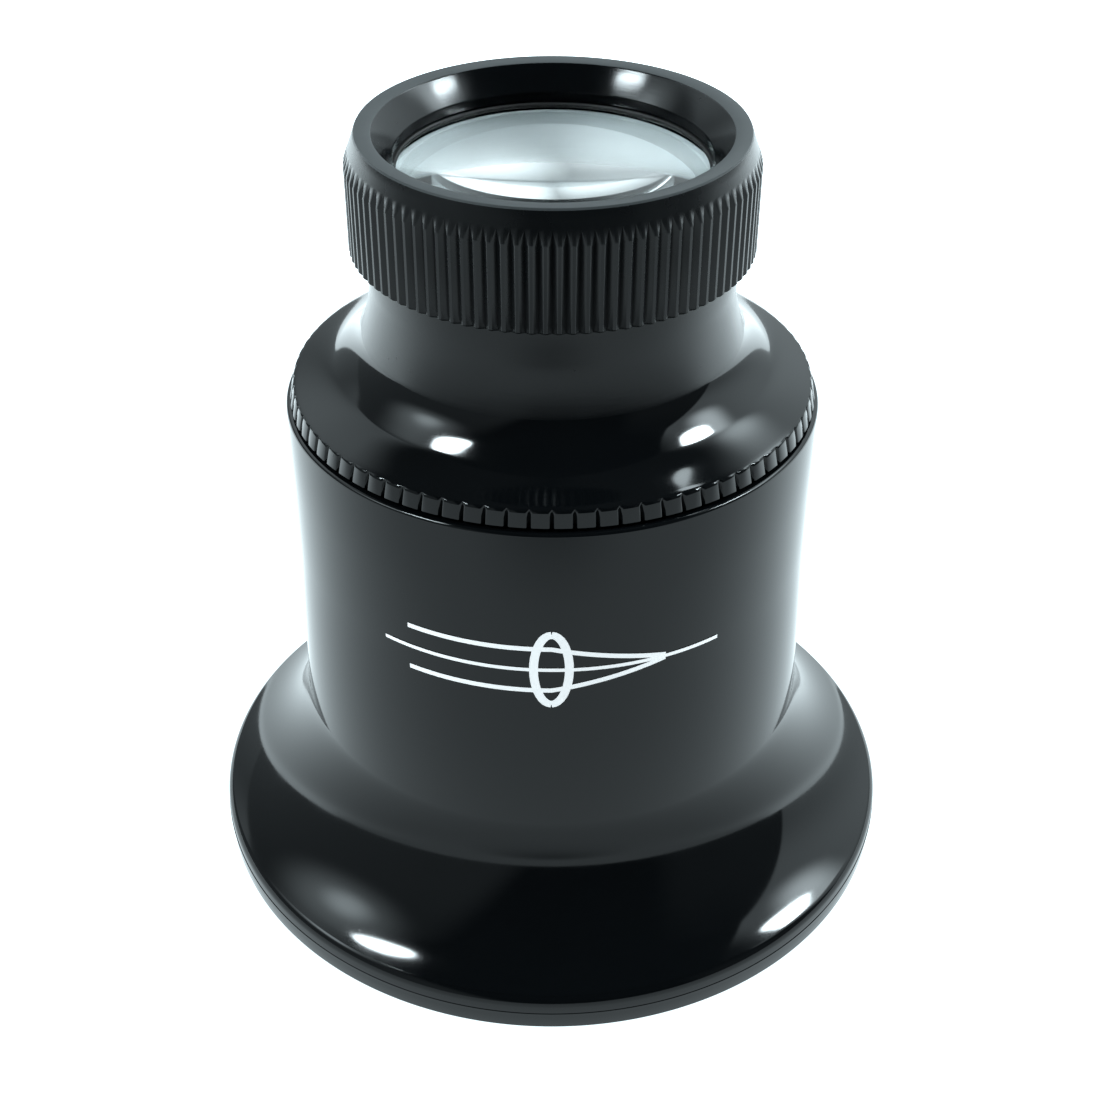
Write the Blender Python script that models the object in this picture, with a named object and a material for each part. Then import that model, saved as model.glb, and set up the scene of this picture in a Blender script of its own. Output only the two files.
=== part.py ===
"""A watchmaker's eye loupe with two lenses, standing on its eye flange.

The optical head is a ribbed lens holder that screws into the eyecup. It carries the
rear lens, a stop ring and a spacer. A knurled cap screws onto its neck and holds the
front lens under a thin clamp ring. Both screw threads are right-handed.

The origin is at the middle of the flange's flat underside, and +Z is the optical axis,
from the eye towards the work. Lengths below are in millimetres.
"""

import math

import bmesh
import bpy

MM = 0.001

# Driving dimensions
TOTAL_HEIGHT = 40.74
FLANGE_RADIUS = 19.0
BODY_RADIUS = 13.48
BODY_TOP = 26.95
SHOULDER_RADIUS = 13.25
NECK_RADIUS = 8.95
CAP_RADIUS = 9.81
CAP_BOTTOM = 34.97
CLEAR_APERTURE_RADIUS = 7.5

# Running clearances
SEAT_GAP = 0.1
LENS_GAP = 0.1
BORE_GAP = 0.06
THREAD_GAP = 0.1

# Share of a pitch over which a thread rises out of its wall at each end
THREAD_RUN_OUT = 0.4

# Eyecup: the body swells slightly down to its waist, where the flare starts
SWELL_TOP = 19.0
WAIST = (13.69, 9.32)
FLARE_END = (18.66, 2.12)
PARTING_HEIGHT = 1.1
UNDERSIDE_OUTER_RADIUS = 18.78
UNDERSIDE_INNER_RADIUS = 17.35
EYE_BORE_RADIUS = 11.9

# Screw joint between the lens holder and the eyecup
BODY_PITCH = 1.5
BODY_THREAD_CREST = 12.25
BODY_THREAD_DEPTH = 0.4
BODY_THREAD_BOTTOM = 20.9
BODY_THREAD_TOP = 26.15

# Screw joint between the cap and the neck
NECK_PITCH = 0.75
NECK_THREAD_CREST = 8.72
NECK_THREAD_DEPTH = 0.34
NECK_THREAD_BOTTOM = 35.4
NECK_THREAD_TOP = 36.95

# Lens holder: the ribs stand on a plain ring and lean inwards to their tops
RIB_COUNT = 80
RIB_DEPTH = 0.28
RIB_TOP_RADIUS = 13.07
RIB_GROOVE_SHARE = 0.22
SHOULDER_TOP = 27.98
SHOULDER_BOTTOM = BODY_TOP + SEAT_GAP
HOLDER_BOTTOM = 20.6
HOLDER_BORE_RADIUS = 10.85
NECK_TOP = 37.1
LENS_BORE_RADIUS = 7.65
REAR_SEAT = 31.0
REAR_SEAT_RADIUS = 6.9

# Cap
KNURL_COUNT = 100
KNURL_DEPTH = 0.24
KNURL_GROOVE_SHARE = 0.65
RIM_OUTER_RADIUS = 9.25
RIM_INNER_RADIUS = 8.45
RIM_SLOPE = 0.09
CHAMFER_BOTTOM = 39.235
LIP_TOP = 39.5
LIP_BOTTOM = 39.05
FRONT_CELL_RADIUS = 8.34

# Optics
FRONT_CURVE = 22.0
FRONT_APEX = 39.93
REAR_CURVE = 24.0
REAR_EDGE_TOP = 32.4
STOP_THICKNESS = 0.3
STOP_RADIUS = 6.4
SPACER_RADIUS = 7.0
CLAMP_TOP = 38.95
CLAMP_THICKNESS = 0.25
CLAMP_RADIUS = 7.38

# Facets round each piece; the two grips have six points to every facet of their piece
EYECUP_FACETS = 60
HOLDER_FACETS = RIB_COUNT // 2
CAP_FACETS = KNURL_COUNT // 2
RING_FACETS = 48

MATERIALS = {
    "gloss_black": ((0.012, 0.013, 0.014, 1.0), 0.10, 0.0),
    "satin_black": ((0.016, 0.017, 0.018, 1.0), 0.42, 0.0),
    "blackened": ((0.010, 0.010, 0.011, 1.0), 0.60, 0.0),
    "pale_grey": ((0.60, 0.62, 0.63, 1.0), 0.45, 0.0),
    "lens_glass": ((0.95, 0.97, 0.97, 1.0), 0.0, 0.0),
}


def clear_scene():
    for obj in list(bpy.data.objects):
        bpy.data.objects.remove(obj)


def make_material(name):
    colour, roughness, metallic = MATERIALS[name]
    material = bpy.data.materials.new(name)
    material.use_nodes = True
    shader = material.node_tree.nodes["Principled BSDF"]
    shader.inputs["Base Color"].default_value = colour
    shader.inputs["Roughness"].default_value = roughness
    shader.inputs["Metallic"].default_value = metallic
    if name == "lens_glass":
        shader.inputs["Transmission Weight"].default_value = 1.0
        shader.inputs["IOR"].default_value = 1.52
    return material


class Turned:
    """A piece turned about Z, built ring by ring and stored from its own seat height."""

    def __init__(self, name, facets, seat=0.0):
        self.name = name
        self.facets = facets
        self.seat = seat
        self.mesh = bmesh.new()
        self.first = None
        self.last = None

    def vertex(self, radius, height, turn):
        angle = 2 * math.pi * turn
        place = (radius * math.cos(angle), radius * math.sin(angle), height - self.seat)
        return self.mesh.verts.new([MM * value for value in place])

    def face(self, *corners):
        distinct = list(dict.fromkeys(corners))
        if len(distinct) > 2:
            self.mesh.faces.new(distinct)

    def join(self, ring_a, ring_b):
        """Faces between two rings; a ring may have several points to each point of the other."""
        if len(ring_a) > len(ring_b):
            ring_a, ring_b = ring_b, ring_a
        count = len(ring_a)
        step = len(ring_b) // count
        for k in range(count):
            near = [ring_a[k], ring_a[(k + 1) % count]]
            far = [ring_b[(k * step + n) % len(ring_b)] for n in range(step, -1, -1)]
            self.face(*near, *far)

    def add(self, ring):
        if self.last:
            self.join(self.last, ring)
        self.first = self.first or ring
        self.last = ring

    def ring(self, radius, height):
        self.add([self.vertex(radius, height, k / self.facets) for k in range(self.facets)])

    def rings(self, points):
        for radius, height in points:
            self.ring(radius, height)

    def grip_ring(self, root, crest, height, count, groove_share):
        """One ring of a V-grooved grip: each rib has a groove root and two crest corners."""
        half = groove_share / 2
        ring = []
        for rib in range(count):
            ring.append(self.vertex(root, height, rib / count))
            ring.append(self.vertex(crest, height, (rib + half) / count))
            ring.append(self.vertex(crest, height, (rib + 1 - half) / count))
        return ring

    def grip_end(self, plain, grooved):
        """Joins a plain cone ring to a grooved ring, so that each groove ends in a point."""
        count = len(plain)
        for root in range(0, count, 3):
            left, right, after = root + 1, root + 2, (root + 3) % count
            self.face(plain[root], plain[left], grooved[left])
            self.face(plain[root], grooved[left], grooved[root])
            self.face(plain[left], plain[right], grooved[right], grooved[left])
            self.face(plain[right], plain[after], grooved[right])
            self.face(plain[after], grooved[after], grooved[right])

    def thread(self, wall, crest, end, pitch):
        """A V thread that climbs from the last ring to a ring of the wall's radius at end."""
        low = self.last
        start = low[0].co.z / MM + self.seat
        if end < start:
            raise ValueError("a thread is built upwards")
        high = [self.vertex(wall, end, k / self.facets) for k in range(self.facets)]
        made = {}

        def point(row, column):
            if column == self.facets:
                return point(row + 2, 0)
            height = start + (row / 2 + column / self.facets - 1) * pitch
            if height <= start:
                return low[column]
            if height >= end:
                return high[column]
            if (row, column) not in made:
                run_out = THREAD_RUN_OUT * pitch
                fade = min(1.0, (height - start) / run_out, (end - height) / run_out)
                radius = wall + fade * (crest - wall) * (row % 2)
                made[row, column] = self.vertex(radius, height, column / self.facets)
            return made[row, column]

        for row in range(math.ceil(2 * (end - start) / pitch) + 2):
            for column in range(self.facets):
                self.face(
                    point(row, column),
                    point(row, column + 1),
                    point(row + 1, column + 1),
                    point(row + 1, column),
                )
        self.last = high

    def close(self):
        self.join(self.last, self.first)

    def cap_end(self, ring, height):
        """Closes a solid piece with a point on the axis."""
        tip = self.vertex(0.0, height, 0.0)
        for k in range(len(ring)):
            self.face(ring[k], ring[(k + 1) % len(ring)], tip)

    def finish(self, material, parent):
        bmesh.ops.recalc_face_normals(self.mesh, faces=self.mesh.faces)
        data = bpy.data.meshes.new(self.name)
        self.mesh.to_mesh(data)
        self.mesh.free()
        data.shade_smooth()
        data.set_sharp_from_angle(angle=math.radians(35))
        data.materials.append(material)
        obj = bpy.data.objects.new(self.name, data)
        obj.location = (0.0, 0.0, MM * self.seat)
        obj.parent = parent
        bpy.context.scene.collection.objects.link(obj)
        return obj


def arc(centre, radii, start, end, steps):
    """Points on an ellipse about (radius, height), between two angles in degrees."""
    points = []
    for k in range(steps + 1):
        angle = math.radians(start + (end - start) * k / steps)
        points.append(
            (centre[0] + radii[0] * math.cos(angle), centre[1] + radii[1] * math.sin(angle))
        )
    return points


def bezier(p0, p1, p2, p3, steps):
    points = []
    for k in range(steps + 1):
        t = k / steps
        weights = ((1 - t) ** 3, 3 * t * (1 - t) ** 2, 3 * t * t * (1 - t), t**3)
        points.append(
            tuple(sum(w * p[axis] for w, p in zip(weights, (p0, p1, p2, p3))) for axis in (0, 1))
        )
    return points


def dome_drop(curve, radius):
    """How far a dome of this radius of curvature falls from its apex at a radius."""
    return curve - math.sqrt(curve**2 - radius**2)


def eyecup_body(material, parent):
    piece = Turned("eyecup_body", EYECUP_FACETS)
    edge = 0.18
    piece.rings(arc((BODY_RADIUS - edge, BODY_TOP - edge), (edge, edge), 90, 0, 3))
    piece.ring(BODY_RADIUS, SWELL_TOP)
    piece.rings(bezier(WAIST, (WAIST[0] + 0.03, 7.82), (14.82, 4.2), FLARE_END, 8))
    lip = (FLARE_END[0] - 0.37, FLARE_END[1] - 0.6)
    piece.rings(arc(lip, (0.68, 0.68), 58, 4, 3))
    piece.ring(FLANGE_RADIUS, PARTING_HEIGHT)
    piece.ring(FLANGE_RADIUS - 0.06, 0.16)
    piece.ring(UNDERSIDE_OUTER_RADIUS, 0.0)
    piece.ring(UNDERSIDE_INNER_RADIUS, 0.0)
    piece.rings(bezier((17.2, 0.7), (13.6, 2.2), (EYE_BORE_RADIUS, 5.6), (EYE_BORE_RADIUS, 9.0), 7))
    wall = BODY_THREAD_CREST + THREAD_GAP
    # The female crest lies where the male root is, half a pitch above a male crest
    start = BODY_THREAD_BOTTOM + BODY_PITCH / 2 - BODY_PITCH
    piece.ring(EYE_BORE_RADIUS, HOLDER_BOTTOM - 1.0)
    piece.ring(wall, start)
    crest = BODY_THREAD_CREST - BODY_THREAD_DEPTH + THREAD_GAP
    piece.thread(wall, crest, BODY_TOP - 0.35, BODY_PITCH)
    piece.ring(wall + 0.35, BODY_TOP)
    piece.close()
    return piece.finish(material, parent)


def shoulder_profile():
    """From the neck down: a slow taper, a tight fillet, then a cone that flattens to the edge."""
    foot, cone = (9.45, 30.65), (10.9, 28.93)
    fillet = bezier(foot, (9.67, 29.98), (10.21, 29.51), cone, 4)
    skirt = bezier(cone, (11.33, 28.56), (12.1, 28.29), (12.88, 28.02), 3)
    return [(NECK_RADIUS, 33.2), (9.1, 32.0)] + fillet + skirt[1:]


def lens_holder(material, parent):
    piece = Turned("lens_holder", HOLDER_FACETS, SHOULDER_BOTTOM)
    piece.rings(
        (
            (REAR_SEAT_RADIUS, REAR_SEAT),
            (REAR_SEAT_RADIUS, REAR_SEAT - 0.8),
            (HOLDER_BORE_RADIUS, 25.6),
            (HOLDER_BORE_RADIUS, HOLDER_BOTTOM),
        )
    )
    root = BODY_THREAD_CREST - BODY_THREAD_DEPTH
    piece.ring(root - 0.2, HOLDER_BOTTOM)
    piece.ring(root, BODY_THREAD_BOTTOM)
    piece.thread(root, BODY_THREAD_CREST, BODY_THREAD_TOP, BODY_PITCH)
    piece.ring(root, SHOULDER_BOTTOM)
    plain = SHOULDER_RADIUS - RIB_DEPTH
    grip = (RIB_COUNT, RIB_GROOVE_SHARE)
    under = piece.grip_ring(plain, plain, SHOULDER_BOTTOM, *grip)
    piece.add(under)
    low = piece.grip_ring(plain, SHOULDER_RADIUS, SHOULDER_BOTTOM + 0.08, *grip)
    high = piece.grip_ring(plain, RIB_TOP_RADIUS, SHOULDER_TOP - 0.05, *grip)
    top = piece.grip_ring(plain, plain, SHOULDER_TOP, *grip)
    piece.grip_end(under, low)
    piece.join(low, high)
    piece.grip_end(top, high)
    piece.last = top
    for radius, height in reversed(shoulder_profile()):
        piece.ring(radius, height)
    piece.ring(NECK_RADIUS, CAP_BOTTOM - LENS_GAP)
    neck_root = NECK_THREAD_CREST - NECK_THREAD_DEPTH
    piece.ring(neck_root, CAP_BOTTOM - LENS_GAP)
    piece.ring(neck_root, NECK_THREAD_BOTTOM)
    piece.thread(neck_root, NECK_THREAD_CREST, NECK_THREAD_TOP, NECK_PITCH)
    piece.ring(neck_root - 0.15, NECK_TOP)
    piece.ring(LENS_BORE_RADIUS, NECK_TOP)
    piece.ring(LENS_BORE_RADIUS, REAR_SEAT)
    piece.close()
    return piece.finish(material, parent)


def retaining_cap(material, parent):
    piece = Turned("retaining_cap", CAP_FACETS, CAP_BOTTOM)
    rim_inner = TOTAL_HEIGHT - RIM_SLOPE
    piece.ring(RIM_OUTER_RADIUS, TOTAL_HEIGHT)
    piece.rings(
        (
            (RIM_INNER_RADIUS, rim_inner),
            (CLEAR_APERTURE_RADIUS, LIP_TOP),
            (CLEAR_APERTURE_RADIUS, LIP_BOTTOM),
            (FRONT_CELL_RADIUS, LIP_BOTTOM),
            (FRONT_CELL_RADIUS, NECK_TOP + LENS_GAP),
        )
    )
    # Upwards again from the mouth, because a thread climbs
    cell_foot = piece.last
    wall = NECK_THREAD_CREST + THREAD_GAP
    crest = NECK_THREAD_CREST - NECK_THREAD_DEPTH + THREAD_GAP
    mouth = [piece.vertex(wall + 0.1, CAP_BOTTOM, k / CAP_FACETS) for k in range(CAP_FACETS)]
    piece.last = mouth
    # The female crest lies where the male root is, half a pitch above a male crest
    start = NECK_THREAD_BOTTOM + NECK_PITCH / 2 - NECK_PITCH
    piece.ring(wall, start)
    piece.thread(wall, crest, NECK_TOP - 0.05, NECK_PITCH)
    piece.ring(wall, NECK_TOP + LENS_GAP)
    piece.join(piece.last, cell_foot)

    root = CAP_RADIUS - KNURL_DEPTH
    grip = (KNURL_COUNT, KNURL_GROOVE_SHARE)
    slope = (CAP_RADIUS - RIM_OUTER_RADIUS) / (TOTAL_HEIGHT - CHAMFER_BOTTOM)
    tip_height = TOTAL_HEIGHT - (root - RIM_OUTER_RADIUS) / slope
    tips = piece.grip_ring(root, root, tip_height, *grip)
    high = piece.grip_ring(root, CAP_RADIUS, CHAMFER_BOTTOM, *grip)
    low = piece.grip_ring(root, CAP_RADIUS, CAP_BOTTOM + 0.12, *grip)
    bottom = piece.grip_ring(root, CAP_RADIUS - 0.12, CAP_BOTTOM, *grip)
    piece.join(piece.first, tips)
    piece.grip_end(tips, high)
    piece.join(high, low)
    piece.join(low, bottom)
    piece.join(bottom, mouth)
    return piece.finish(material, parent)


def turned_ring(name, inner, outer, bottom, top, material, parent):
    """A plain ring with a small chamfer at each corner of its section."""
    bevel = min(0.08, (top - bottom) / 4)
    piece = Turned(name, RING_FACETS, bottom)
    piece.rings(
        (
            (inner + bevel, top),
            (outer - bevel, top),
            (outer, top - bevel),
            (outer, bottom + bevel),
            (outer - bevel, bottom),
            (inner + bevel, bottom),
            (inner, bottom + bevel),
            (inner, top - bevel),
        )
    )
    piece.close()
    return piece.finish(material, parent)


def plano_convex_lens(name, radius, curve, apex, bottom, material, parent):
    """A lens with its dome upwards, a ground edge and a flat underside."""
    piece = Turned(name, RING_FACETS, bottom)
    dome_steps = 5
    for k in range(1, dome_steps + 1):
        at = radius * k / dome_steps
        piece.ring(at, apex - dome_drop(curve, at))
    ground = 0.15
    piece.ring(radius, bottom + ground)
    piece.ring(radius - ground, bottom)
    piece.cap_end(piece.first, apex)
    piece.cap_end(piece.last, bottom)
    return piece.finish(material, parent)


def front_lens(material, parent):
    radius = FRONT_CELL_RADIUS - BORE_GAP
    bottom = NECK_TOP + LENS_GAP
    return plano_convex_lens(
        "front_lens", radius, FRONT_CURVE, FRONT_APEX, bottom, material, parent
    )


def front_clamp_ring(material, parent):
    outer = FRONT_CELL_RADIUS - BORE_GAP
    bottom = CLAMP_TOP - CLAMP_THICKNESS
    return turned_ring(
        "front_clamp_ring", CLAMP_RADIUS, outer, bottom, CLAMP_TOP, material, parent
    )


def rear_lens(material, parent):
    radius = LENS_BORE_RADIUS - BORE_GAP
    apex = REAR_EDGE_TOP + dome_drop(REAR_CURVE, radius)
    bottom = REAR_SEAT + LENS_GAP
    return plano_convex_lens(
        "rear_lens", radius, REAR_CURVE, apex, bottom, material, parent
    )


def stop_ring(material, parent):
    bottom = REAR_EDGE_TOP + dome_drop(REAR_CURVE, LENS_BORE_RADIUS)
    bottom -= dome_drop(REAR_CURVE, STOP_RADIUS) - LENS_GAP
    outer = LENS_BORE_RADIUS - BORE_GAP
    top = bottom + STOP_THICKNESS
    return turned_ring("stop_ring", STOP_RADIUS, outer, bottom, top, material, parent)


def lens_spacer(bottom, material, parent):
    outer = LENS_BORE_RADIUS - BORE_GAP
    return turned_ring("lens_spacer", SPACER_RADIUS, outer, bottom, NECK_TOP, material, parent)


def main():
    clear_scene()
    materials = {name: make_material(name) for name in MATERIALS}
    loupe = bpy.data.objects.new("loupe", None)
    bpy.context.scene.collection.objects.link(loupe)
    eyecup_body(materials["gloss_black"], loupe)
    lens_holder(materials["gloss_black"], loupe)
    retaining_cap(materials["satin_black"], loupe)
    front_lens(materials["lens_glass"], loupe)
    front_clamp_ring(materials["blackened"], loupe)
    rear_lens(materials["lens_glass"], loupe)
    stop = stop_ring(materials["blackened"], loupe)
    stop_top = stop.location.z / MM + STOP_THICKNESS
    lens_spacer(stop_top + LENS_GAP, materials["pale_grey"], loupe)


main()
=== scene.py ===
"""The looks of the eye loupe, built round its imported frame.

Every CAD node is replaced by a finer turned mesh with procedural materials. A pale floor and
a light tent, drawn by direction in the world, give the reflections.
"""

import math

import bmesh
import bpy
from mathutils import Matrix, Vector


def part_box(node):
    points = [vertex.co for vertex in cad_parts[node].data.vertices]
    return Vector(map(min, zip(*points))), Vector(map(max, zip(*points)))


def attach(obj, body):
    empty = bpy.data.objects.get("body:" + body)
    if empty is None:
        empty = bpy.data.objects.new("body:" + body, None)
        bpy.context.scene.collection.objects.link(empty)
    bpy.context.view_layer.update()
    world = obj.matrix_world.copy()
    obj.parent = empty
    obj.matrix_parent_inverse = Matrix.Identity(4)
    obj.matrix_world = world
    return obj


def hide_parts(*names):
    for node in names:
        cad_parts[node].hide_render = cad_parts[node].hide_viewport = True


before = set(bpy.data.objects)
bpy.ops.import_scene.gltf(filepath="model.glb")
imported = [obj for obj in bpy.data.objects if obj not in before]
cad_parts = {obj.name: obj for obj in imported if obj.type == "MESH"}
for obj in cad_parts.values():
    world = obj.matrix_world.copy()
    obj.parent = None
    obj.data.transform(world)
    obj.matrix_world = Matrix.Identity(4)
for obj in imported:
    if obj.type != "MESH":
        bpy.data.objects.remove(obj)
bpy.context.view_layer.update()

MM = 0.001
MICROMETRE = 1e-6


def low(node):
    """Lowest corner of a CAD node, in millimetres."""
    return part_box(node)[0] / MM


def high(node):
    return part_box(node)[1] / MM


# Sizes read from the frame, in millimetres
FLANGE_RADIUS = high("eyecup_body").x
BODY_TOP = high("eyecup_body").z
SHOULDER_RADIUS = high("lens_holder").x
HOLDER_BOTTOM = low("lens_holder").z
NECK_TOP = high("lens_holder").z
CAP_RADIUS = high("retaining_cap").x
CAP_BOTTOM = low("retaining_cap").z
CAP_TOP = high("retaining_cap").z
FRONT_LENS_RADIUS = high("front_lens").x
FRONT_LENS_BOTTOM = low("front_lens").z
FRONT_LENS_TOP = high("front_lens").z
REAR_LENS_RADIUS = high("rear_lens").x
REAR_LENS_BOTTOM = low("rear_lens").z
REAR_LENS_TOP = high("rear_lens").z

# Sizes that the boxes don't give, in millimetres
BODY_RADIUS = 13.48
BODY_FACETS = 320
SWELL_TOP = 19.0
WAIST = (13.69, 9.32)
FLARE_END = (18.66, 2.12)
PARTING_HEIGHT = 1.1
UNDERSIDE_INNER_RADIUS = 17.35
EYE_BORE_RADIUS = 11.9
BODY_EDGE_ROUND = 0.18
BODY_PITCH = 1.5
BODY_THREAD_CREST = 12.25
BODY_THREAD_DEPTH = 0.4
BODY_THREAD_BOTTOM = 20.9
BODY_THREAD_TOP = 26.15
SEAT_GAP = 0.1
LENS_GAP = 0.1
THREAD_GAP = 0.1
SHOULDER_BOTTOM = BODY_TOP + SEAT_GAP
SHOULDER_TOP = 27.98
RIB_COUNT = 80
RIB_DEPTH = 0.28
RIB_TOP_RADIUS = 13.07
RIB_GROOVE_SHARE = 0.2
HOLDER_BORE_RADIUS = 10.85
HOLDER_BORE_TOP = 25.6
NECK_RADIUS = 8.95
NECK_PITCH = 0.75
NECK_THREAD_CREST = 8.72
NECK_THREAD_DEPTH = 0.34
NECK_THREAD_BOTTOM = 35.4
NECK_THREAD_TOP = 36.95
LENS_BORE_RADIUS = 7.65
REAR_SEAT = 31.0
REAR_SEAT_RADIUS = 6.9
KNURL_COUNT = 100
KNURL_DEPTH = 0.24
KNURL_GROOVE_SHARE = 0.65
RIM_OUTER_RADIUS = 9.25
RIM_INNER_RADIUS = 8.45
RIM_SLOPE = 0.09
CHAMFER_BOTTOM = 39.235
CLEAR_APERTURE_RADIUS = 7.5
LIP_TOP = 39.5
LIP_BOTTOM = 39.05
FRONT_CELL_RADIUS = 8.34
FRONT_CURVE = 22.0
REAR_CURVE = 24.0
LENS_FACETS = 160
CLAMP_RING_BORE = 7.38
STOP_RING_BORE = 6.4
SPACER_BORE = 7.0

# The printed sign, in millimetres
SIGN_LIFT = 0.035
SIGN_MIDDLE = 19.2
SIGN_TURN = -0.25
SIGN_LENS_HALF_WIDTH = 0.85
SIGN_LENS_HALF_HEIGHT = 2.1
SIGN_RAY_HEIGHT = 1.25
SIGN_RAY_STEP = 0.4
AXIS_LINE = 0.2
LENS_LINE = 0.42
RAY_LINE = 0.26

# Looks
PLASTIC_IOR = 1.39
GLASS_IOR = 1.52
BLACK = (0.0022, 0.0028, 0.0034)
SATIN_BLACK = (0.0026, 0.0032, 0.0038)
COOL_WHITE = (0.86, 1.0, 1.05, 1.0)

# The camera, in millimetres for the lens, metres for the place and degrees for the pitch
CAMERA_LENS = 55.9
CAMERA_PLACE = (0.0, -0.075803, 0.070728)
CAMERA_PITCH = 35.57


# ---------------------------------------------------------------- profiles


def arc(centre, radii, start, end, steps):
    """Points on an ellipse about (radius, height), between two angles in degrees."""
    points = []
    for k in range(steps + 1):
        angle = math.radians(start + (end - start) * k / steps)
        points.append(
            (centre[0] + radii[0] * math.cos(angle), centre[1] + radii[1] * math.sin(angle))
        )
    return points


def bezier(p0, p1, p2, p3, steps):
    points = []
    for k in range(steps + 1):
        t = k / steps
        weights = ((1 - t) ** 3, 3 * t * (1 - t) ** 2, 3 * t * t * (1 - t), t**3)
        points.append(
            tuple(sum(w * p[axis] for w, p in zip(weights, (p0, p1, p2, p3))) for axis in (0, 1))
        )
    return points


def softened(points, size, steps=3):
    """The same outline with each inner corner cut back by size and rounded."""
    made = [points[0]]
    for before, here, after in zip(points, points[1:], points[2:]):
        ends = []
        for other in (before, after):
            length = math.dist(here, other)
            share = min(size, 0.45 * length) / length
            ends.append([here[axis] + share * (other[axis] - here[axis]) for axis in (0, 1)])
        for k in range(steps + 1):
            t = k / steps
            weights = ((1 - t) ** 2, 2 * t * (1 - t), t * t)
            corners = (ends[0], here, ends[1])
            made.append(
                tuple(sum(w * p[axis] for w, p in zip(weights, corners)) for axis in (0, 1))
            )
    made.append(points[-1])
    return made


# ---------------------------------------------------------------- turned meshes


class Turned:
    """A piece turned about Z: rings of points are added along its outline and joined as they come."""

    def __init__(self, facets):
        self.facets = facets
        self.points = []
        self.faces = []
        self.finishes = []
        self.finish = 0
        self.first = None
        self.last = None

    def point(self, radius, height, turn):
        angle = 2 * math.pi * turn
        place = (radius * math.cos(angle), radius * math.sin(angle), height)
        self.points.append([MM * value for value in place])
        return len(self.points) - 1

    def face(self, *corners):
        distinct = list(dict.fromkeys(corners))
        if len(distinct) > 2:
            self.faces.append(distinct)
            self.finishes.append(self.finish)

    def join(self, ring_a, ring_b):
        """Faces between two rings; one may have several points to each point of the other."""
        if len(ring_a) > len(ring_b):
            ring_a, ring_b = ring_b, ring_a
        count = len(ring_a)
        step = len(ring_b) // count
        for k in range(count):
            near = [ring_a[k], ring_a[(k + 1) % count]]
            far = [ring_b[(k * step + n) % len(ring_b)] for n in range(step, -1, -1)]
            self.face(*near, *far)

    def add(self, ring):
        if self.last:
            self.join(self.last, ring)
        self.first = self.first or ring
        self.last = ring

    def ring(self, radius, height):
        self.add([self.point(radius, height, k / self.facets) for k in range(self.facets)])

    def outline(self, points, finish=0):
        self.finish = finish
        for radius, height in points:
            self.ring(radius, height)

    def grip_ring(self, root, crest, height, count, groove_share, corner):
        """A ring of a grooved grip: a groove root, then a crest with a small round at each side."""
        half = groove_share / 2
        inset = min(0.06, (1 - groove_share) / 4)
        drop = min(corner, crest - root)
        ring = []
        for rib in range(count):
            ring.append(self.point(root, height, rib / count))
            ring.append(self.point(crest - drop, height, (rib + half) / count))
            ring.append(self.point(crest, height, (rib + half + inset) / count))
            ring.append(self.point(crest, height, (rib + 0.5) / count))
            ring.append(self.point(crest, height, (rib + 1 - half - inset) / count))
            ring.append(self.point(crest - drop, height, (rib + 1 - half) / count))
        return ring

    def grip_end(self, plain, grooved):
        """Joins a plain ring to a grooved one, so that each groove ends in a point."""
        per_rib = 6
        count = len(plain)
        for root in range(0, count, per_rib):
            after = (root + per_rib) % count
            left, right = root + 1, root + per_rib - 1
            self.face(plain[root], plain[left], grooved[left])
            self.face(plain[root], grooved[left], grooved[root])
            for k in range(left, right):
                self.face(plain[k], plain[k + 1], grooved[k + 1], grooved[k])
            self.face(plain[right], plain[after], grooved[right])
            self.face(plain[after], grooved[after], grooved[right])

    def thread(self, wall, crest, end, pitch, flat=0.1):
        """A thread with flat crests and roots, from the last ring up to a ring at end."""
        foot = self.last
        start = self.points[foot[0]][2] / MM
        head = [self.point(wall, end, k / self.facets) for k in range(self.facets)]
        run_out = 0.4 * pitch
        levels = ((flat, 0.0), (0.5 - flat, 1.0), (0.5 + flat, 1.0), (1 - flat, 0.0))
        made = {}

        def at(row, column):
            if column == self.facets:
                return at(row + len(levels), 0)
            share, rise = levels[row % len(levels)]
            height = start + (row // len(levels) + share + column / self.facets - 1) * pitch
            if height <= start:
                return foot[column]
            if height >= end:
                return head[column]
            if (row, column) not in made:
                fade = min(1.0, (height - start) / run_out, (end - height) / run_out)
                radius = wall + fade * (crest - wall) * rise
                made[row, column] = self.point(radius, height, column / self.facets)
            return made[row, column]

        for row in range(len(levels) * (math.ceil((end - start) / pitch) + 2)):
            for column in range(self.facets):
                self.face(
                    at(row, column), at(row, column + 1), at(row + 1, column + 1), at(row + 1, column)
                )
        self.last = head

    def close(self):
        self.join(self.last, self.first)

    def cap_end(self, ring, height):
        tip = self.point(0.0, height, 0.0)
        for k in range(len(ring)):
            self.face(ring[k], ring[(k + 1) % len(ring)], tip)

    def make(self, name, body, node, materials, sharp=28):
        data = bpy.data.meshes.new(name)
        data.from_pydata(self.points, [], self.faces)
        data.polygons.foreach_set("material_index", self.finishes)
        return place_piece(name, data, body, node, materials, sharp)


def place_piece(name, data, body, node, materials, sharp):
    """Turns mesh data into a piece that rides on a body and stands for a CAD node."""
    shell = bmesh.new()
    shell.from_mesh(data)
    bmesh.ops.recalc_face_normals(shell, faces=shell.faces)
    shell.to_mesh(data)
    shell.free()
    data.shade_smooth()
    data.set_sharp_from_angle(angle=math.radians(sharp))
    for material in materials:
        data.materials.append(material)
    piece = bpy.data.objects.new(name, data)
    bpy.context.scene.collection.objects.link(piece)
    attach(piece, body)
    if node:
        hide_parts(node)
    return piece


# ---------------------------------------------------------------- pieces


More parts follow.
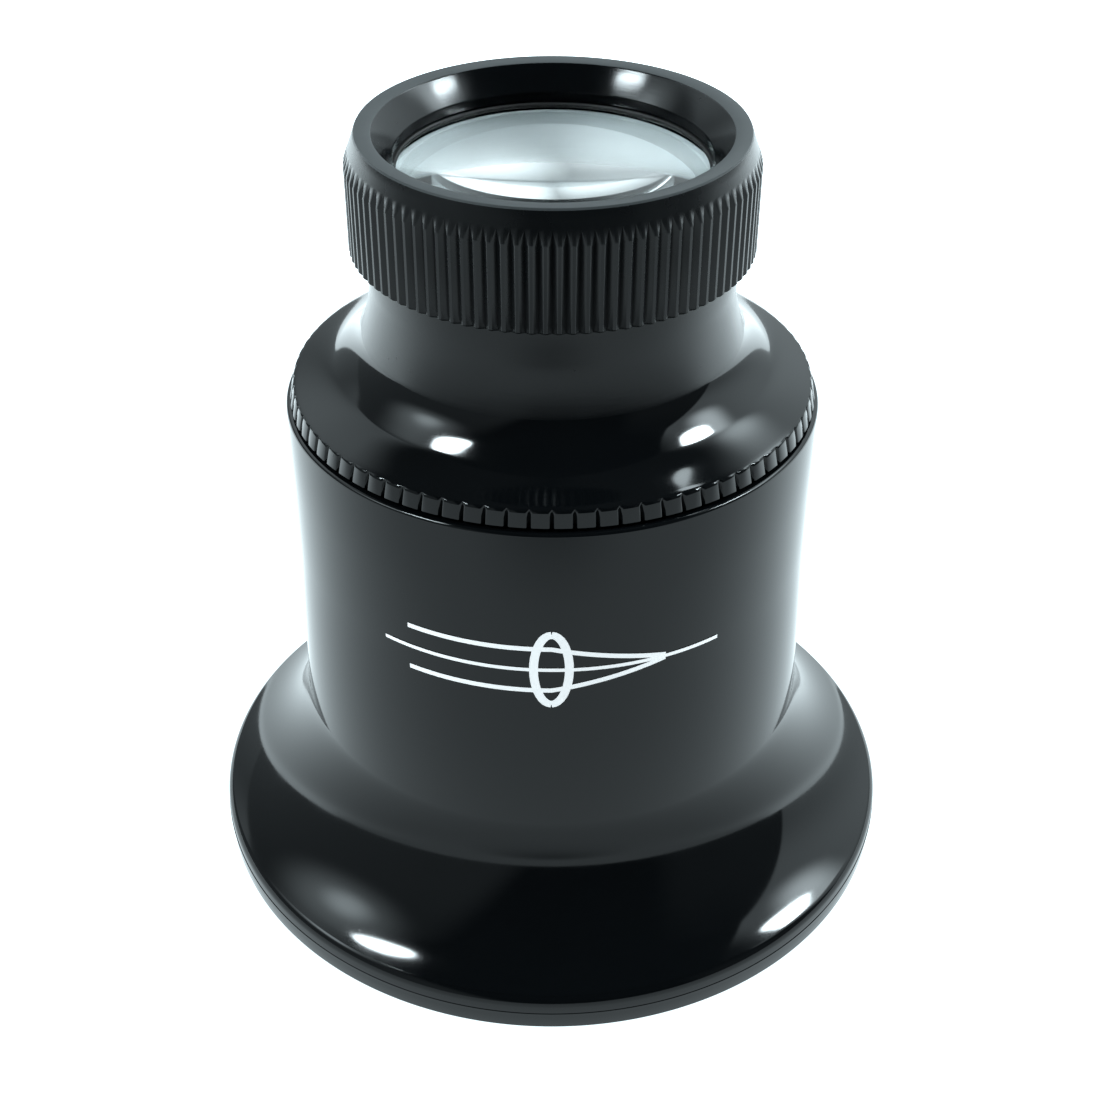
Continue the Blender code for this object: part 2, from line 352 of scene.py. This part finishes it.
def eyecup(gloss, inside):
    piece = Turned(BODY_FACETS)
    round_ = BODY_EDGE_ROUND
    piece.outline([(BODY_THREAD_CREST + 0.55, BODY_TOP)])
    piece.outline(arc((BODY_RADIUS - round_, BODY_TOP - round_), (round_, round_), 90, 0, 8))
    waist = (WAIST[0] - 0.09, WAIST[1] + 5.0)
    swell = bezier((BODY_RADIUS, SWELL_TOP), (BODY_RADIUS, 17.0), waist, WAIST, 12)
    piece.outline([(BODY_RADIUS, 23.0)] + swell)
    flare = bezier(WAIST, (WAIST[0] + 0.03, 7.82), (14.82, 4.2), FLARE_END, 44)
    piece.outline(flare[1:])
    lip = (FLARE_END[0] - 0.37, FLARE_END[1] - 0.6)
    piece.outline(arc(lip, (0.68, 0.68), 58, 4, 12))
    edge = (FLANGE_RADIUS, PARTING_HEIGHT)
    piece.outline([(edge[0] - 0.03, edge[1] + 0.05), (edge[0], edge[1] + 0.02)])
    piece.outline([(edge[0], edge[1] - 0.02), (edge[0] - 0.035, edge[1] - 0.05)])
    piece.outline(
        softened(
            [
                (18.95, 0.8),
                (18.93, 0.0),
                (UNDERSIDE_INNER_RADIUS, 0.0),
                (UNDERSIDE_INNER_RADIUS - 0.25, 0.34),
            ],
            0.16,
        )
    )
    hollow = bezier((17.05, 0.7), (13.6, 2.2), (EYE_BORE_RADIUS, 5.6), (EYE_BORE_RADIUS, 9.0), 30)
    piece.outline(hollow, 1)
    wall = BODY_THREAD_CREST + THREAD_GAP
    start = BODY_THREAD_BOTTOM - BODY_PITCH / 2
    piece.outline([(EYE_BORE_RADIUS, HOLDER_BOTTOM - 1.0), (wall, start)], 1)
    crest = BODY_THREAD_CREST - BODY_THREAD_DEPTH + THREAD_GAP
    piece.thread(wall, crest, BODY_TOP - 0.35, BODY_PITCH)
    piece.ring(wall + 0.3, BODY_TOP - 0.05)
    piece.close()
    return piece.make("eyecup", "eyecup", "eyecup_body", [gloss, inside])


def shoulder_profile():
    """From the neck down: a slow taper, a tight fillet, a cone that flattens, and the edge's round."""
    edge = (SHOULDER_RADIUS - RIB_DEPTH, SHOULDER_TOP)
    foot, cone, land = (9.45, 30.65), (10.9, 28.93), (12.88, 28.02)
    taper = bezier((NECK_RADIUS, 33.2), (NECK_RADIUS, 32.4), (9.23, 31.32), foot, 16)
    fillet = bezier(foot, (9.67, 29.98), (10.21, 29.51), cone, 16)
    skirt = bezier(cone, (11.33, 28.56), (12.1, 28.29), land, 16)
    return taper, fillet[1:] + skirt[1:] + [(edge[0] - 0.03, edge[1] + 0.015)]


def holder(gloss, neck, inside):
    piece = Turned(3 * RIB_COUNT)
    piece.outline(
        softened(
            [
                (LENS_BORE_RADIUS, REAR_SEAT + 0.2),
                (LENS_BORE_RADIUS, REAR_SEAT),
                (REAR_SEAT_RADIUS, REAR_SEAT),
                (REAR_SEAT_RADIUS, REAR_SEAT - 0.8),
                (HOLDER_BORE_RADIUS, HOLDER_BORE_TOP),
                (HOLDER_BORE_RADIUS, HOLDER_BOTTOM),
                (BODY_THREAD_CREST - BODY_THREAD_DEPTH - 0.2, HOLDER_BOTTOM),
                (BODY_THREAD_CREST - BODY_THREAD_DEPTH, BODY_THREAD_BOTTOM),
            ],
            0.08,
        ),
        2,
    )
    root = BODY_THREAD_CREST - BODY_THREAD_DEPTH
    piece.thread(root, BODY_THREAD_CREST, BODY_THREAD_TOP, BODY_PITCH)
    piece.outline([(root, SHOULDER_BOTTOM)])
    plain = SHOULDER_RADIUS - RIB_DEPTH
    grip = (RIB_COUNT, RIB_GROOVE_SHARE, 0.03)
    under = piece.grip_ring(plain, plain, SHOULDER_BOTTOM, *grip)
    piece.add(under)
    edges = [
        (SHOULDER_RADIUS - 0.03, SHOULDER_BOTTOM + 0.05),
        (SHOULDER_RADIUS, SHOULDER_BOTTOM + 0.1),
        (RIB_TOP_RADIUS + 0.02, SHOULDER_TOP - 0.15),
        (RIB_TOP_RADIUS, SHOULDER_TOP - 0.09),
        (RIB_TOP_RADIUS - 0.04, SHOULDER_TOP - 0.03),
    ]
    rings = [piece.grip_ring(plain, radius, height, *grip) for radius, height in edges]
    top = piece.grip_ring(plain, plain, SHOULDER_TOP, *grip)
    piece.grip_end(under, rings[0])
    for lower, upper in zip(rings, rings[1:]):
        piece.join(lower, upper)
    piece.grip_end(top, rings[-1])
    piece.last = top
    taper, skirt = shoulder_profile()
    piece.outline(reversed(skirt))
    piece.outline(reversed(taper), 1)
    neck_root = NECK_THREAD_CREST - NECK_THREAD_DEPTH
    piece.outline(
        softened(
            [
                (NECK_RADIUS, 33.4),
                (NECK_RADIUS, CAP_BOTTOM - LENS_GAP),
                (neck_root, CAP_BOTTOM - LENS_GAP),
                (neck_root, NECK_THREAD_BOTTOM),
            ],
            0.06,
        ),
        1,
    )
    piece.thread(neck_root, NECK_THREAD_CREST, NECK_THREAD_TOP, NECK_PITCH)
    piece.outline(
        softened(
            [
                (neck_root - 0.1, NECK_TOP - 0.04),
                (neck_root - 0.15, NECK_TOP),
                (LENS_BORE_RADIUS, NECK_TOP),
                (LENS_BORE_RADIUS, NECK_TOP - 0.5),
            ],
            0.05,
        ),
        2,
    )
    piece.close()
    return piece.make(
        "holder", "holder", "lens_holder", [gloss, neck, inside]
    )


def cap(satin, rim, bevel, inside):
    piece = Turned(2 * KNURL_COUNT)
    rim_inner = CAP_TOP - RIM_SLOPE
    root = CAP_RADIUS - KNURL_DEPTH
    slope = (CAP_RADIUS - RIM_OUTER_RADIUS) / (CAP_TOP - CHAMFER_BOTTOM)
    tip_height = CAP_TOP - (root - RIM_OUTER_RADIUS) / slope

    def chamfer(share):
        """A point this share of the way down from the rim to the knurls' tips."""
        radius = RIM_OUTER_RADIUS + (root - RIM_OUTER_RADIUS) * share
        return radius, CAP_TOP + (tip_height - CAP_TOP) * share

    piece.outline([chamfer(0.9), chamfer(0.5), chamfer(0.12)])
    rim_edges = [
        (RIM_OUTER_RADIUS - 0.015, CAP_TOP - 0.01),
        (RIM_OUTER_RADIUS - 0.07, CAP_TOP),
        (RIM_INNER_RADIUS + 0.07, rim_inner + 0.008),
        (RIM_INNER_RADIUS + 0.01, rim_inner - 0.012),
    ]
    piece.outline(rim_edges, 1)
    lip = [
        (RIM_INNER_RADIUS - 0.03, rim_inner - 0.05),
        (CLEAR_APERTURE_RADIUS, LIP_TOP),
        (CLEAR_APERTURE_RADIUS, LIP_BOTTOM),
        (FRONT_CELL_RADIUS, LIP_BOTTOM),
    ]
    piece.outline(softened(lip[:3], 0.05)[:-1], 2)
    piece.outline([lip[2], lip[3], (FRONT_CELL_RADIUS, NECK_TOP + LENS_GAP)], 3)
    cell_foot = piece.last
    wall = NECK_THREAD_CREST + THREAD_GAP
    crest = NECK_THREAD_CREST - NECK_THREAD_DEPTH + THREAD_GAP
    mouth = [
        piece.point(wall + 0.1, CAP_BOTTOM, k / piece.facets) for k in range(piece.facets)
    ]
    piece.last = mouth
    piece.ring(wall, NECK_THREAD_BOTTOM - NECK_PITCH / 2)
    piece.thread(wall, crest, NECK_TOP - 0.05, NECK_PITCH)
    piece.ring(wall, NECK_TOP + LENS_GAP)
    piece.join(piece.last, cell_foot)

    piece.finish = 0
    grip = (KNURL_COUNT, KNURL_GROOVE_SHARE, 0.025)
    tips = piece.grip_ring(root, root, tip_height, *grip)
    levels = [
        (CAP_RADIUS - 0.012, CHAMFER_BOTTOM + 0.03),
        (CAP_RADIUS, CHAMFER_BOTTOM - 0.04),
        (CAP_RADIUS, CAP_BOTTOM + 0.12),
        (CAP_RADIUS - 0.12, CAP_BOTTOM),
    ]
    rings = [piece.grip_ring(root, radius, height, *grip) for radius, height in levels]
    piece.join(piece.first, tips)
    piece.grip_end(tips, rings[0])
    for upper, lower in zip(rings, rings[1:]):
        piece.join(upper, lower)
    piece.join(rings[-1], mouth)
    return piece.make(
        "cap", "cap", "retaining_cap", [satin, rim, bevel, inside]
    )


def lens(name, node, body, radius, curve, bottom, top, polished, ground):
    """A lens with its dome upwards, a ground edge with small chamfers and a flat underside."""
    piece = Turned(LENS_FACETS)
    bevel = 0.12
    dome_steps = 40
    for k in range(1, dome_steps + 1):
        at = (radius - bevel) * k / dome_steps
        piece.ring(at, top - curve + math.sqrt(curve**2 - at**2))
    edge_top = piece.points[piece.last[0]][2] / MM
    piece.outline([(radius, edge_top - bevel), (radius, bottom + bevel), (radius - bevel, bottom)], 1)
    piece.finish = 0
    flat_steps = 6
    for k in range(flat_steps - 1, 0, -1):
        piece.ring((radius - bevel) * k / flat_steps, bottom)
    piece.cap_end(piece.first, top)
    piece.cap_end(piece.last, bottom)
    return piece.make(name, body, node, [polished, ground], 40)


def plain_ring(name, node, body, inner, material):
    """A thin ring with a small chamfer at each corner of its section."""
    piece = Turned(LENS_FACETS)
    outer, bottom, top = high(node).x, low(node).z, high(node).z
    bevel = min(0.06, (top - bottom) / 4)
    corners = [
        (inner, top - bevel),
        (inner + bevel, top),
        (outer - bevel, top),
        (outer, top - bevel),
        (outer, bottom + bevel),
        (outer - bevel, bottom),
        (inner + bevel, bottom),
        (inner, bottom + bevel),
    ]
    piece.outline(corners)
    piece.close()
    return piece.make(name, body, node, [material])


def sign_lines():
    """The printed sign as (path, line width), each point (across, up) from the sign's middle."""
    lines = [([(-8.6 + 0.43 * k, 0.0) for k in range(41)], AXIS_LINE)]
    for side in (-1, 1):
        angles = [math.radians(a) for a in range(-90, 91, 10)]
        width, height = side * SIGN_LENS_HALF_WIDTH, SIGN_LENS_HALF_HEIGHT
        lines.append(([(width * math.cos(a), height * math.sin(a)) for a in angles], LENS_LINE))
    for side in (-1, 1):
        height = side * SIGN_RAY_HEIGHT
        inward = [(-7.2 + SIGN_RAY_STEP * k, height) for k in range(19)]
        onward = [(SIGN_RAY_STEP * k, height * (1 - k / 15)) for k in range(1, 15)]
        lines.append((inward + onward, RAY_LINE))
    return lines


def printed_sign(ink):
    """A plain printed sign on the front of the body: a lens on its axis, with two rays."""
    piece = Turned(1)
    radius = BODY_RADIUS + SIGN_LIFT
    for path, width in sign_lines():
        last = None
        for k, (across, up) in enumerate(path):
            before, after = path[max(k - 1, 0)], path[min(k + 1, len(path) - 1)]
            run, rise = after[0] - before[0], after[1] - before[1]
            scale = width / 2 / math.hypot(run, rise)
            pair = []
            for side in (-1, 1):
                s, z = across - side * rise * scale, up + side * run * scale
                turn = SIGN_TURN + s / (2 * math.pi * radius)
                pair.append(piece.point(radius, SIGN_MIDDLE + z, turn))
            if last:
                piece.face(last[0], pair[0], pair[1], last[1])
            last = pair
    return piece.make("printed_sign", "eyecup", None, [ink])


# ---------------------------------------------------------------- materials


class Nodes:
    """A material's or world's node tree, with short calls to add and link nodes."""

    def __init__(self, owner):
        owner.use_nodes = True
        self.tree = owner.node_tree
        self.tree.nodes.clear()

    def add(self, kind, settings=None, **inputs):
        node = self.tree.nodes.new(kind)
        for name, value in (settings or {}).items():
            setattr(node, name, value)
        for name, value in inputs.items():
            self.set(node, name.replace("_", " "), value)
        return node

    def set(self, node, name, value):
        key = int(name) if name.isdigit() else name
        socket = node.inputs[key]
        if isinstance(value, bpy.types.NodeSocket):
            self.link(value, socket)
        else:
            socket.default_value = value

    def link(self, output, socket):
        self.tree.links.new(output, socket)

    def show(self, shader, kind="ShaderNodeOutputMaterial"):
        """Ends the tree with its output node."""
        self.link(shader.outputs[0], self.add(kind).inputs[0])

    def math(self, operation, a, b=0.0, c=0.0):
        node = self.add("ShaderNodeMath", {"operation": operation})
        for index, value in enumerate((a, b, c)):
            self.set(node, str(index), value)
        return node.outputs[0]

    def span(self, value, low, high, to_low=0.0, to_high=1.0, kind="LINEAR"):
        node = self.add("ShaderNodeMapRange", {"interpolation_type": kind})
        for name, amount in (
            ("Value", value),
            ("From Min", low),
            ("From Max", high),
            ("To Min", to_low),
            ("To Max", to_high),
        ):
            self.set(node, name, amount)
        return node.outputs["Result"]


def turned_plastic(name, colour, roughness, spread, relief, turning=0.0, grooved=0.0):
    """Black plastic: cloudy gloss, faint scratches, and fine turning marks where it has them.

    spread is how much the roughness varies, relief the depth of the surface's waviness in
    micrometres, and turning the depth of the turning marks in micrometres. grooved is how far
    the marks draw highlights out across themselves."""
    material = bpy.data.materials.new(name)
    nodes = Nodes(material)
    place = nodes.add("ShaderNodeTexCoord").outputs["Object"]
    cloud = nodes.add("ShaderNodeTexNoise", Vector=place, Scale=260.0, Detail=4.0, Roughness=0.6)
    grain = nodes.add("ShaderNodeTexNoise", Vector=place, Scale=5200.0, Detail=2.0, Roughness=0.5)
    stretched = nodes.add("ShaderNodeMapping", Vector=place, Scale=(700.0, 700.0, 9000.0))
    streak = nodes.add("ShaderNodeTexNoise", Vector=stretched.outputs[0], Scale=1.0, Detail=3.0)
    specks = nodes.add("ShaderNodeTexVoronoi", Vector=place, Scale=900.0)
    dust = nodes.span(specks.outputs["Distance"], 0.035, 0.075, 1.0, 0.0)
    dust = nodes.math("MULTIPLY", dust, nodes.span(cloud.outputs["Fac"], 0.55, 0.62))

    tint = nodes.add("ShaderNodeMix", {"data_type": "RGBA"})
    streaks = nodes.math("MULTIPLY", streak.outputs["Fac"], 0.3)
    shade = nodes.math("MULTIPLY_ADD", cloud.outputs["Fac"], 0.7, streaks)
    nodes.link(shade, tint.inputs[0])
    tint.inputs[6].default_value = [0.75 * part for part in colour] + [1.0]
    tint.inputs[7].default_value = [1.25 * part for part in colour] + [1.0]

    rough = nodes.span(cloud.outputs["Fac"], 0.3, 0.7, roughness - spread, roughness + spread)
    rough = nodes.math("ADD", rough, nodes.math("MULTIPLY", dust, 0.25))
    rough = nodes.math("ADD", rough, nodes.math("MULTIPLY", grain.outputs["Fac"], 0.25 * spread))

    waves = nodes.math("MULTIPLY", cloud.outputs["Fac"], relief)
    fine = nodes.math("MULTIPLY", grain.outputs["Fac"], 0.12 * relief)
    marks = nodes.math("MULTIPLY", streak.outputs["Fac"], turning)
    raised = nodes.math("ADD", marks, nodes.math("MULTIPLY", dust, 0.6))
    surface = nodes.math("ADD", nodes.math("ADD", waves, fine), raised)
    bump = nodes.add("ShaderNodeBump", Height=surface, Strength=1.0, Distance=MICROMETRE)

    shader = nodes.add("ShaderNodeBsdfPrincipled", Roughness=rough, Normal=bump.outputs[0])
    nodes.link(tint.outputs[2], shader.inputs["Base Color"])
    shader.inputs["IOR"].default_value = PLASTIC_IOR
    if grooved:
        round_axis = nodes.add("ShaderNodeTangent", {"direction_type": "RADIAL", "axis": "Z"})
        nodes.link(round_axis.outputs[0], shader.inputs["Tangent"])
        shader.inputs["Anisotropic"].default_value = grooved
        shader.inputs["Anisotropic Rotation"].default_value = 0.25
    nodes.show(shader)
    return material


def optical_glass(name, tint):
    """Glass that lets lamps through to what is behind it."""
    material = bpy.data.materials.new(name)
    nodes = Nodes(material)
    place = nodes.add("ShaderNodeTexCoord").outputs["Object"]
    haze = nodes.add("ShaderNodeTexNoise", Vector=place, Scale=900.0, Detail=3.0)
    rough = nodes.span(haze.outputs["Fac"], 0.35, 0.75, 0.0, 0.012)
    shader = nodes.add("ShaderNodeBsdfPrincipled", Roughness=rough)
    shader.inputs["Base Color"].default_value = tint
    shader.inputs["IOR"].default_value = GLASS_IOR
    shader.inputs["Transmission Weight"].default_value = 1.0
    clear = nodes.add("ShaderNodeBsdfTransparent")
    clear.inputs[0].default_value = (0.93, 0.95, 0.95, 1.0)
    ray = nodes.add("ShaderNodeLightPath")
    mix = nodes.add("ShaderNodeMixShader")
    nodes.link(ray.outputs["Is Shadow Ray"], mix.inputs[0])
    nodes.link(shader.outputs[0], mix.inputs[1])
    nodes.link(clear.outputs[0], mix.inputs[2])
    nodes.show(mix)
    return material


def white_ink(name):
    """Pad-printed ink, a little uneven, with a painted glow: it gives off light of its own colour though
    it is no lamp.
    """
    material = bpy.data.materials.new(name)
    nodes = Nodes(material)
    place = nodes.add("ShaderNodeTexCoord").outputs["Object"]
    cover = nodes.add("ShaderNodeTexNoise", Vector=place, Scale=3500.0, Detail=2.0)
    tint = nodes.add("ShaderNodeMix", {"data_type": "RGBA"})
    nodes.link(cover.outputs["Fac"], tint.inputs[0])
    tint.inputs[6].default_value = (0.85, 0.87, 0.88, 1.0)
    tint.inputs[7].default_value = (0.95, 0.96, 0.97, 1.0)
    shader = nodes.add("ShaderNodeBsdfPrincipled", Roughness=0.45)
    nodes.link(tint.outputs[2], shader.inputs["Base Color"])
    # Painted light: the ink glows with its own colour, so it stays bright whatever light falls on it.
    nodes.link(tint.outputs[2], shader.inputs["Emission Color"])
    shader.inputs["Emission Strength"].default_value = 0.35
    nodes.show(shader)
    return material


def ground_edge(name):
    """The frosted cylinder round a lens, ground and part blackened."""
    material = bpy.data.materials.new(name)
    nodes = Nodes(material)
    place = nodes.add("ShaderNodeTexCoord").outputs["Object"]
    grit = nodes.add("ShaderNodeTexNoise", Vector=place, Scale=4000.0, Detail=3.0)
    tint = nodes.add("ShaderNodeMix", {"data_type": "RGBA"})
    nodes.link(grit.outputs["Fac"], tint.inputs[0])
    tint.inputs[6].default_value = (0.30, 0.32, 0.32, 1.0)
    tint.inputs[7].default_value = (0.55, 0.57, 0.57, 1.0)
    bump = nodes.add("ShaderNodeBump", Height=grit.outputs["Fac"], Strength=1.0, Distance=8e-6)
    shader = nodes.add("ShaderNodeBsdfPrincipled", Roughness=0.7, Normal=bump.outputs[0])
    nodes.link(tint.outputs[2], shader.inputs["Base Color"])
    nodes.show(shader)
    return material


# ---------------------------------------------------------------- stage


def pale_floor():
    """A large pale floor that glows a little, as the base of a light tent does, and white to the camera.
    In reflections its glow carries painted light, stronger towards the back and farther out, and a
    painted shadow in front.
    """
    data = bpy.data.meshes.new("floor")
    sheet = bmesh.new()
    bmesh.ops.create_circle(sheet, cap_ends=True, radius=1.5, segments=96)
    sheet.to_mesh(data)
    sheet.free()
    material = bpy.data.materials.new("floor_white")
    nodes = Nodes(material)
    shader = nodes.add("ShaderNodeBsdfPrincipled", Roughness=0.9)
    shader.inputs["Base Color"].default_value = (0.08, 0.08, 0.08, 1.0)
    shader.inputs["Specular IOR Level"].default_value = 0.0
    shader.inputs["Emission Color"].default_value = COOL_WHITE
    place = nodes.add("ShaderNodeTexCoord").outputs["Object"]
    back = nodes.add("ShaderNodeSeparateXYZ", Vector=place).outputs["Y"]
    # Painted light: the glow grows towards the back.
    glow = nodes.span(back, -0.035, 0.035, 0.85, 1.85, "SMOOTHSTEP")
    spot = nodes.add("ShaderNodeVectorMath", {"operation": "LENGTH"})
    nodes.set(spot, "0", place)
    # Painted light: more glow farther out from the loupe, least in front.
    far = nodes.span(spot.outputs["Value"], 0.04, 0.13, 0.0, 0.9, "SMOOTHSTEP")
    far = nodes.math("MULTIPLY", far, nodes.span(back, -0.09, 0.02, 0.1, 1.0, "SMOOTHSTEP"))
    glow = nodes.math("ADD", glow, far)
    # Painted shadow: the glow falls to 0.42 in a soft round patch 78 mm in front of the loupe.
    shade = nodes.add("ShaderNodeVectorMath", {"operation": "DISTANCE"})
    nodes.set(shade, "0", place)
    shade.inputs[1].default_value = (0.0, -0.078, 0.0)
    painted_front_shadow = nodes.span(shade.outputs["Value"], 0.0, 0.045, 0.42, 1.0, "SMOOTHSTEP")
    camera_ray = nodes.add("ShaderNodeLightPath").outputs["Is Camera Ray"]
    unseen = nodes.math("MULTIPLY", glow, painted_front_shadow)
    strength = nodes.math("MAXIMUM", unseen, nodes.math("MULTIPLY", camera_ray, 1.3))
    nodes.link(strength, shader.inputs["Emission Strength"])
    nodes.show(shader)
    data.materials.append(material)
    floor = bpy.data.objects.new("floor", data)
    floor.location = (0.0, 0.0, -0.00002)
    bpy.context.scene.collection.objects.link(floor)


def heading(azimuth, elevation):
    """A direction; azimuth 0 is towards the camera and grows to its right, in degrees."""
    a, e = math.radians(azimuth), math.radians(elevation)
    return Vector((math.cos(e) * math.sin(a), -math.cos(e) * math.cos(a), math.sin(e)))


class Tent(Nodes):
    """A dark room with a white light tent open to the camera, drawn by direction in the world."""

    def __init__(self, world):
        super().__init__(world)
        self.way = self.add("ShaderNodeTexCoord").outputs["Generated"]
        self.total = 0.0

    def along(self, direction):
        node = self.add("ShaderNodeVectorMath", {"operation": "DOT_PRODUCT"})
        self.set(node, "0", self.way)
        self.set(node, "1", tuple(direction))
        return node.outputs["Value"]

    def lighten(self, amount):
        self.total = self.math("ADD", self.total, amount)

    def patch(self, azimuth, elevation, wide, tall, strength, edge, lean=0.0):
        """An oval patch of light; wide and tall are half sizes in degrees, edge its soft share."""
        centre = heading(azimuth, elevation)
        across = heading(azimuth + 90, 0)
        up = centre.cross(across)
        if up.z < 0:
            up = -up
        turn = math.radians(lean)
        first = math.cos(turn) * across + math.sin(turn) * up
        second = math.cos(turn) * up - math.sin(turn) * across
        u = self.math("DIVIDE", self.along(first), math.sin(math.radians(wide)))
        v = self.math("DIVIDE", self.along(second), math.sin(math.radians(tall)))
        square = self.math("ADD", self.math("MULTIPLY", u, u), self.math("MULTIPLY", v, v))
        away = self.math("POWER", square, 0.5)
        glow = self.span(away, 1.0, 1.0 - edge, 0.0, strength, "SMOOTHERSTEP")
        same_side = self.math("GREATER_THAN", self.along(centre), 0.0)
        self.lighten(self.math("MULTIPLY", glow, same_side))

    def beyond(self, first, second, inside, soft):
        """1 on one side of the great circle through two directions, with a soft edge."""
        towards = first.cross(second).normalized()
        if towards.dot(inside) < 0:
            towards = -towards
        return self.span(self.along(towards), -soft, soft, 0.0, 1.0, "SMOOTHERSTEP")

    def wall(self, sides, low, high, strength):
        """The sky within all the sides, its strength rising between two heights."""
        height = self.along(Vector((0, 0, 1)))
        light = self.span(height, low, high, strength[0], strength[1], "SMOOTHSTEP")
        light = self.math("MULTIPLY", light, self.span(height, 0.7, 0.82, 1.0, 0.05, "SMOOTHSTEP"))
        for side in sides:
            light = self.math("MULTIPLY", light, side)
        self.total = self.math("MAXIMUM", self.total, light)

    def finish(self):
        unseen = self.add("ShaderNodeBackground", Color=COOL_WHITE, Strength=self.total)
        seen = self.add("ShaderNodeBackground", Color=(1.0, 1.0, 1.0, 1.0), Strength=1.2)
        ray = self.add("ShaderNodeLightPath")
        mix = self.add("ShaderNodeMixShader")
        self.link(ray.outputs["Is Camera Ray"], mix.inputs[0])
        self.link(unseen.outputs[0], mix.inputs[1])
        self.link(seen.outputs[0], mix.inputs[2])
        self.show(mix, "ShaderNodeOutputWorld")


def light_tent():
    world = bpy.data.worlds.new("light_tent")
    bpy.context.scene.world = world
    tent = Tent(world)
    tent.lighten(0.03)
    left, back, right = heading(-90, 15), heading(180, 20), heading(90, 15)
    left_cloth = tent.beyond(heading(-12, 0), heading(-38, 40), left, 0.16)
    right_cloth = tent.beyond(heading(42, 0), heading(42, 50), right, 0.2)
    left_seam = tent.beyond(heading(-133, 0), heading(-107, 42), back, 0.015)
    left_end = tent.beyond(heading(-86, 0), heading(-86, 50), back, 0.03)
    right_edge = tent.beyond(heading(97.5, 0), heading(76, 42), back, 0.012)
    right_end = tent.beyond(heading(75, 0), heading(75, 50), back, 0.012)
    left_half = tent.beyond(heading(180, 0), heading(180, 50), left, 0.2)
    right_half = tent.beyond(heading(180, 0), heading(180, 50), right, 0.2)
    tent.wall([left_cloth], 0.3, 0.8, (0.3, 0.22))
    tent.wall([right_cloth], 0.3, 0.8, (0.12, 0.05))
    tent.wall([left_seam, left_end, left_half], 0.22, 0.6, (0.42, 1.45))
    tent.wall([right_edge, right_end, right_half], 0.05, 0.45, (0.8, 1.6))
    tent.patch(-70, 53, 8.5, 3.2, 70.0, 0.2, 18)
    tent.patch(-82, 39, 27, 20, 2.8, 1.0, 10)
    tent.patch(-79, 38, 12, 9, 4.2, 1.0, 10)
    tent.patch(94, 44, 8.0, 2.9, 70.0, 0.2, -38)
    tent.patch(99, 37, 15, 11, 9.5, 1.0, -10)
    tent.patch(124, 41, 22, 11, 6.0, 1.0, 5)
    tent.patch(137, 60, 3.0, 2.0, 12.0, 0.2)
    tent.finish()


def camera():
    """The photograph's view: 10 cm away and 36 degrees down."""
    data = bpy.data.cameras.new("camera")
    data.sensor_width = 36.0
    data.lens = CAMERA_LENS
    data.clip_start = 0.005
    view = bpy.data.objects.new("camera", data)
    pitch = math.radians(CAMERA_PITCH)
    turn = Matrix.Rotation(0.0013, 4, "Z") @ Matrix.Rotation(math.pi / 2 - pitch, 4, "X")
    turn = turn @ Matrix.Rotation(0.0022, 4, "Z")
    view.matrix_world = Matrix.Translation(CAMERA_PLACE) @ turn
    bpy.context.scene.collection.objects.link(view)
    bpy.context.scene.camera = view


# ---------------------------------------------------------------- build


def main():
    bpy.context.scene.view_settings.view_transform = "Standard"
    gloss = turned_plastic("gloss_black", BLACK, 0.07, 0.02, 1.2)
    inside = turned_plastic("moulded_inside", BLACK, 0.12, 0.03, 1.2)
    neck = turned_plastic("satin_neck", SATIN_BLACK, 0.24, 0.03, 1.2, 1.5)
    satin = turned_plastic("satin_black", SATIN_BLACK, 0.28, 0.04, 2.0)
    # The rim's grey base colour is painted light: it makes the upward-facing rim lighter, as the light
    # falling on it would. Its roughness is the real matt finish.
    rim = turned_plastic("matt_rim_painted_light", (0.055, 0.060, 0.062), 0.42, 0.06, 5.0, 2.0)
    bevel = turned_plastic("turned_bevel", BLACK, 0.15, 0.03, 0.8, 1.5, grooved=0.6)
    blackened = turned_plastic("blackened", (0.012, 0.012, 0.012), 0.5, 0.08, 3.0)
    # The spacer's pale grey is painted reflection: it stands in for the floor's light glancing off the
    # bore's wall, seen through the lenses.
    pale = turned_plastic("pale_spacer", (0.70, 0.73, 0.74), 0.45, 0.05, 1.0)
    polished = optical_glass("lens_glass", (0.98, 1.0, 0.995, 1.0))
    ground = ground_edge("ground_glass_edge")

    eyecup(gloss, inside)
    printed_sign(white_ink("white_ink"))
    holder(gloss, neck, inside)
    cap(satin, rim, bevel, inside)
    lens(
        "front_glass", "front_lens", "front_optics", FRONT_LENS_RADIUS, FRONT_CURVE,
        FRONT_LENS_BOTTOM, FRONT_LENS_TOP, polished, ground,
    )
    lens(
        "rear_glass", "rear_lens", "rear_optics", REAR_LENS_RADIUS, REAR_CURVE,
        REAR_LENS_BOTTOM, REAR_LENS_TOP, polished, ground,
    )
    for name, node, body, bore, slot, material in (
        ("clamp_ring", "front_clamp_ring", "front_optics", CLAMP_RING_BORE, "blackened_ring", blackened),
        ("stop", "stop_ring", "rear_optics", STOP_RING_BORE, "blackened_ring", blackened),
        ("spacer", "lens_spacer", "rear_optics", SPACER_BORE, "pale_spacer", pale),
    ):
        plain_ring(name, node, body, bore, material)

    pale_floor()
    light_tent()
    camera()


main()
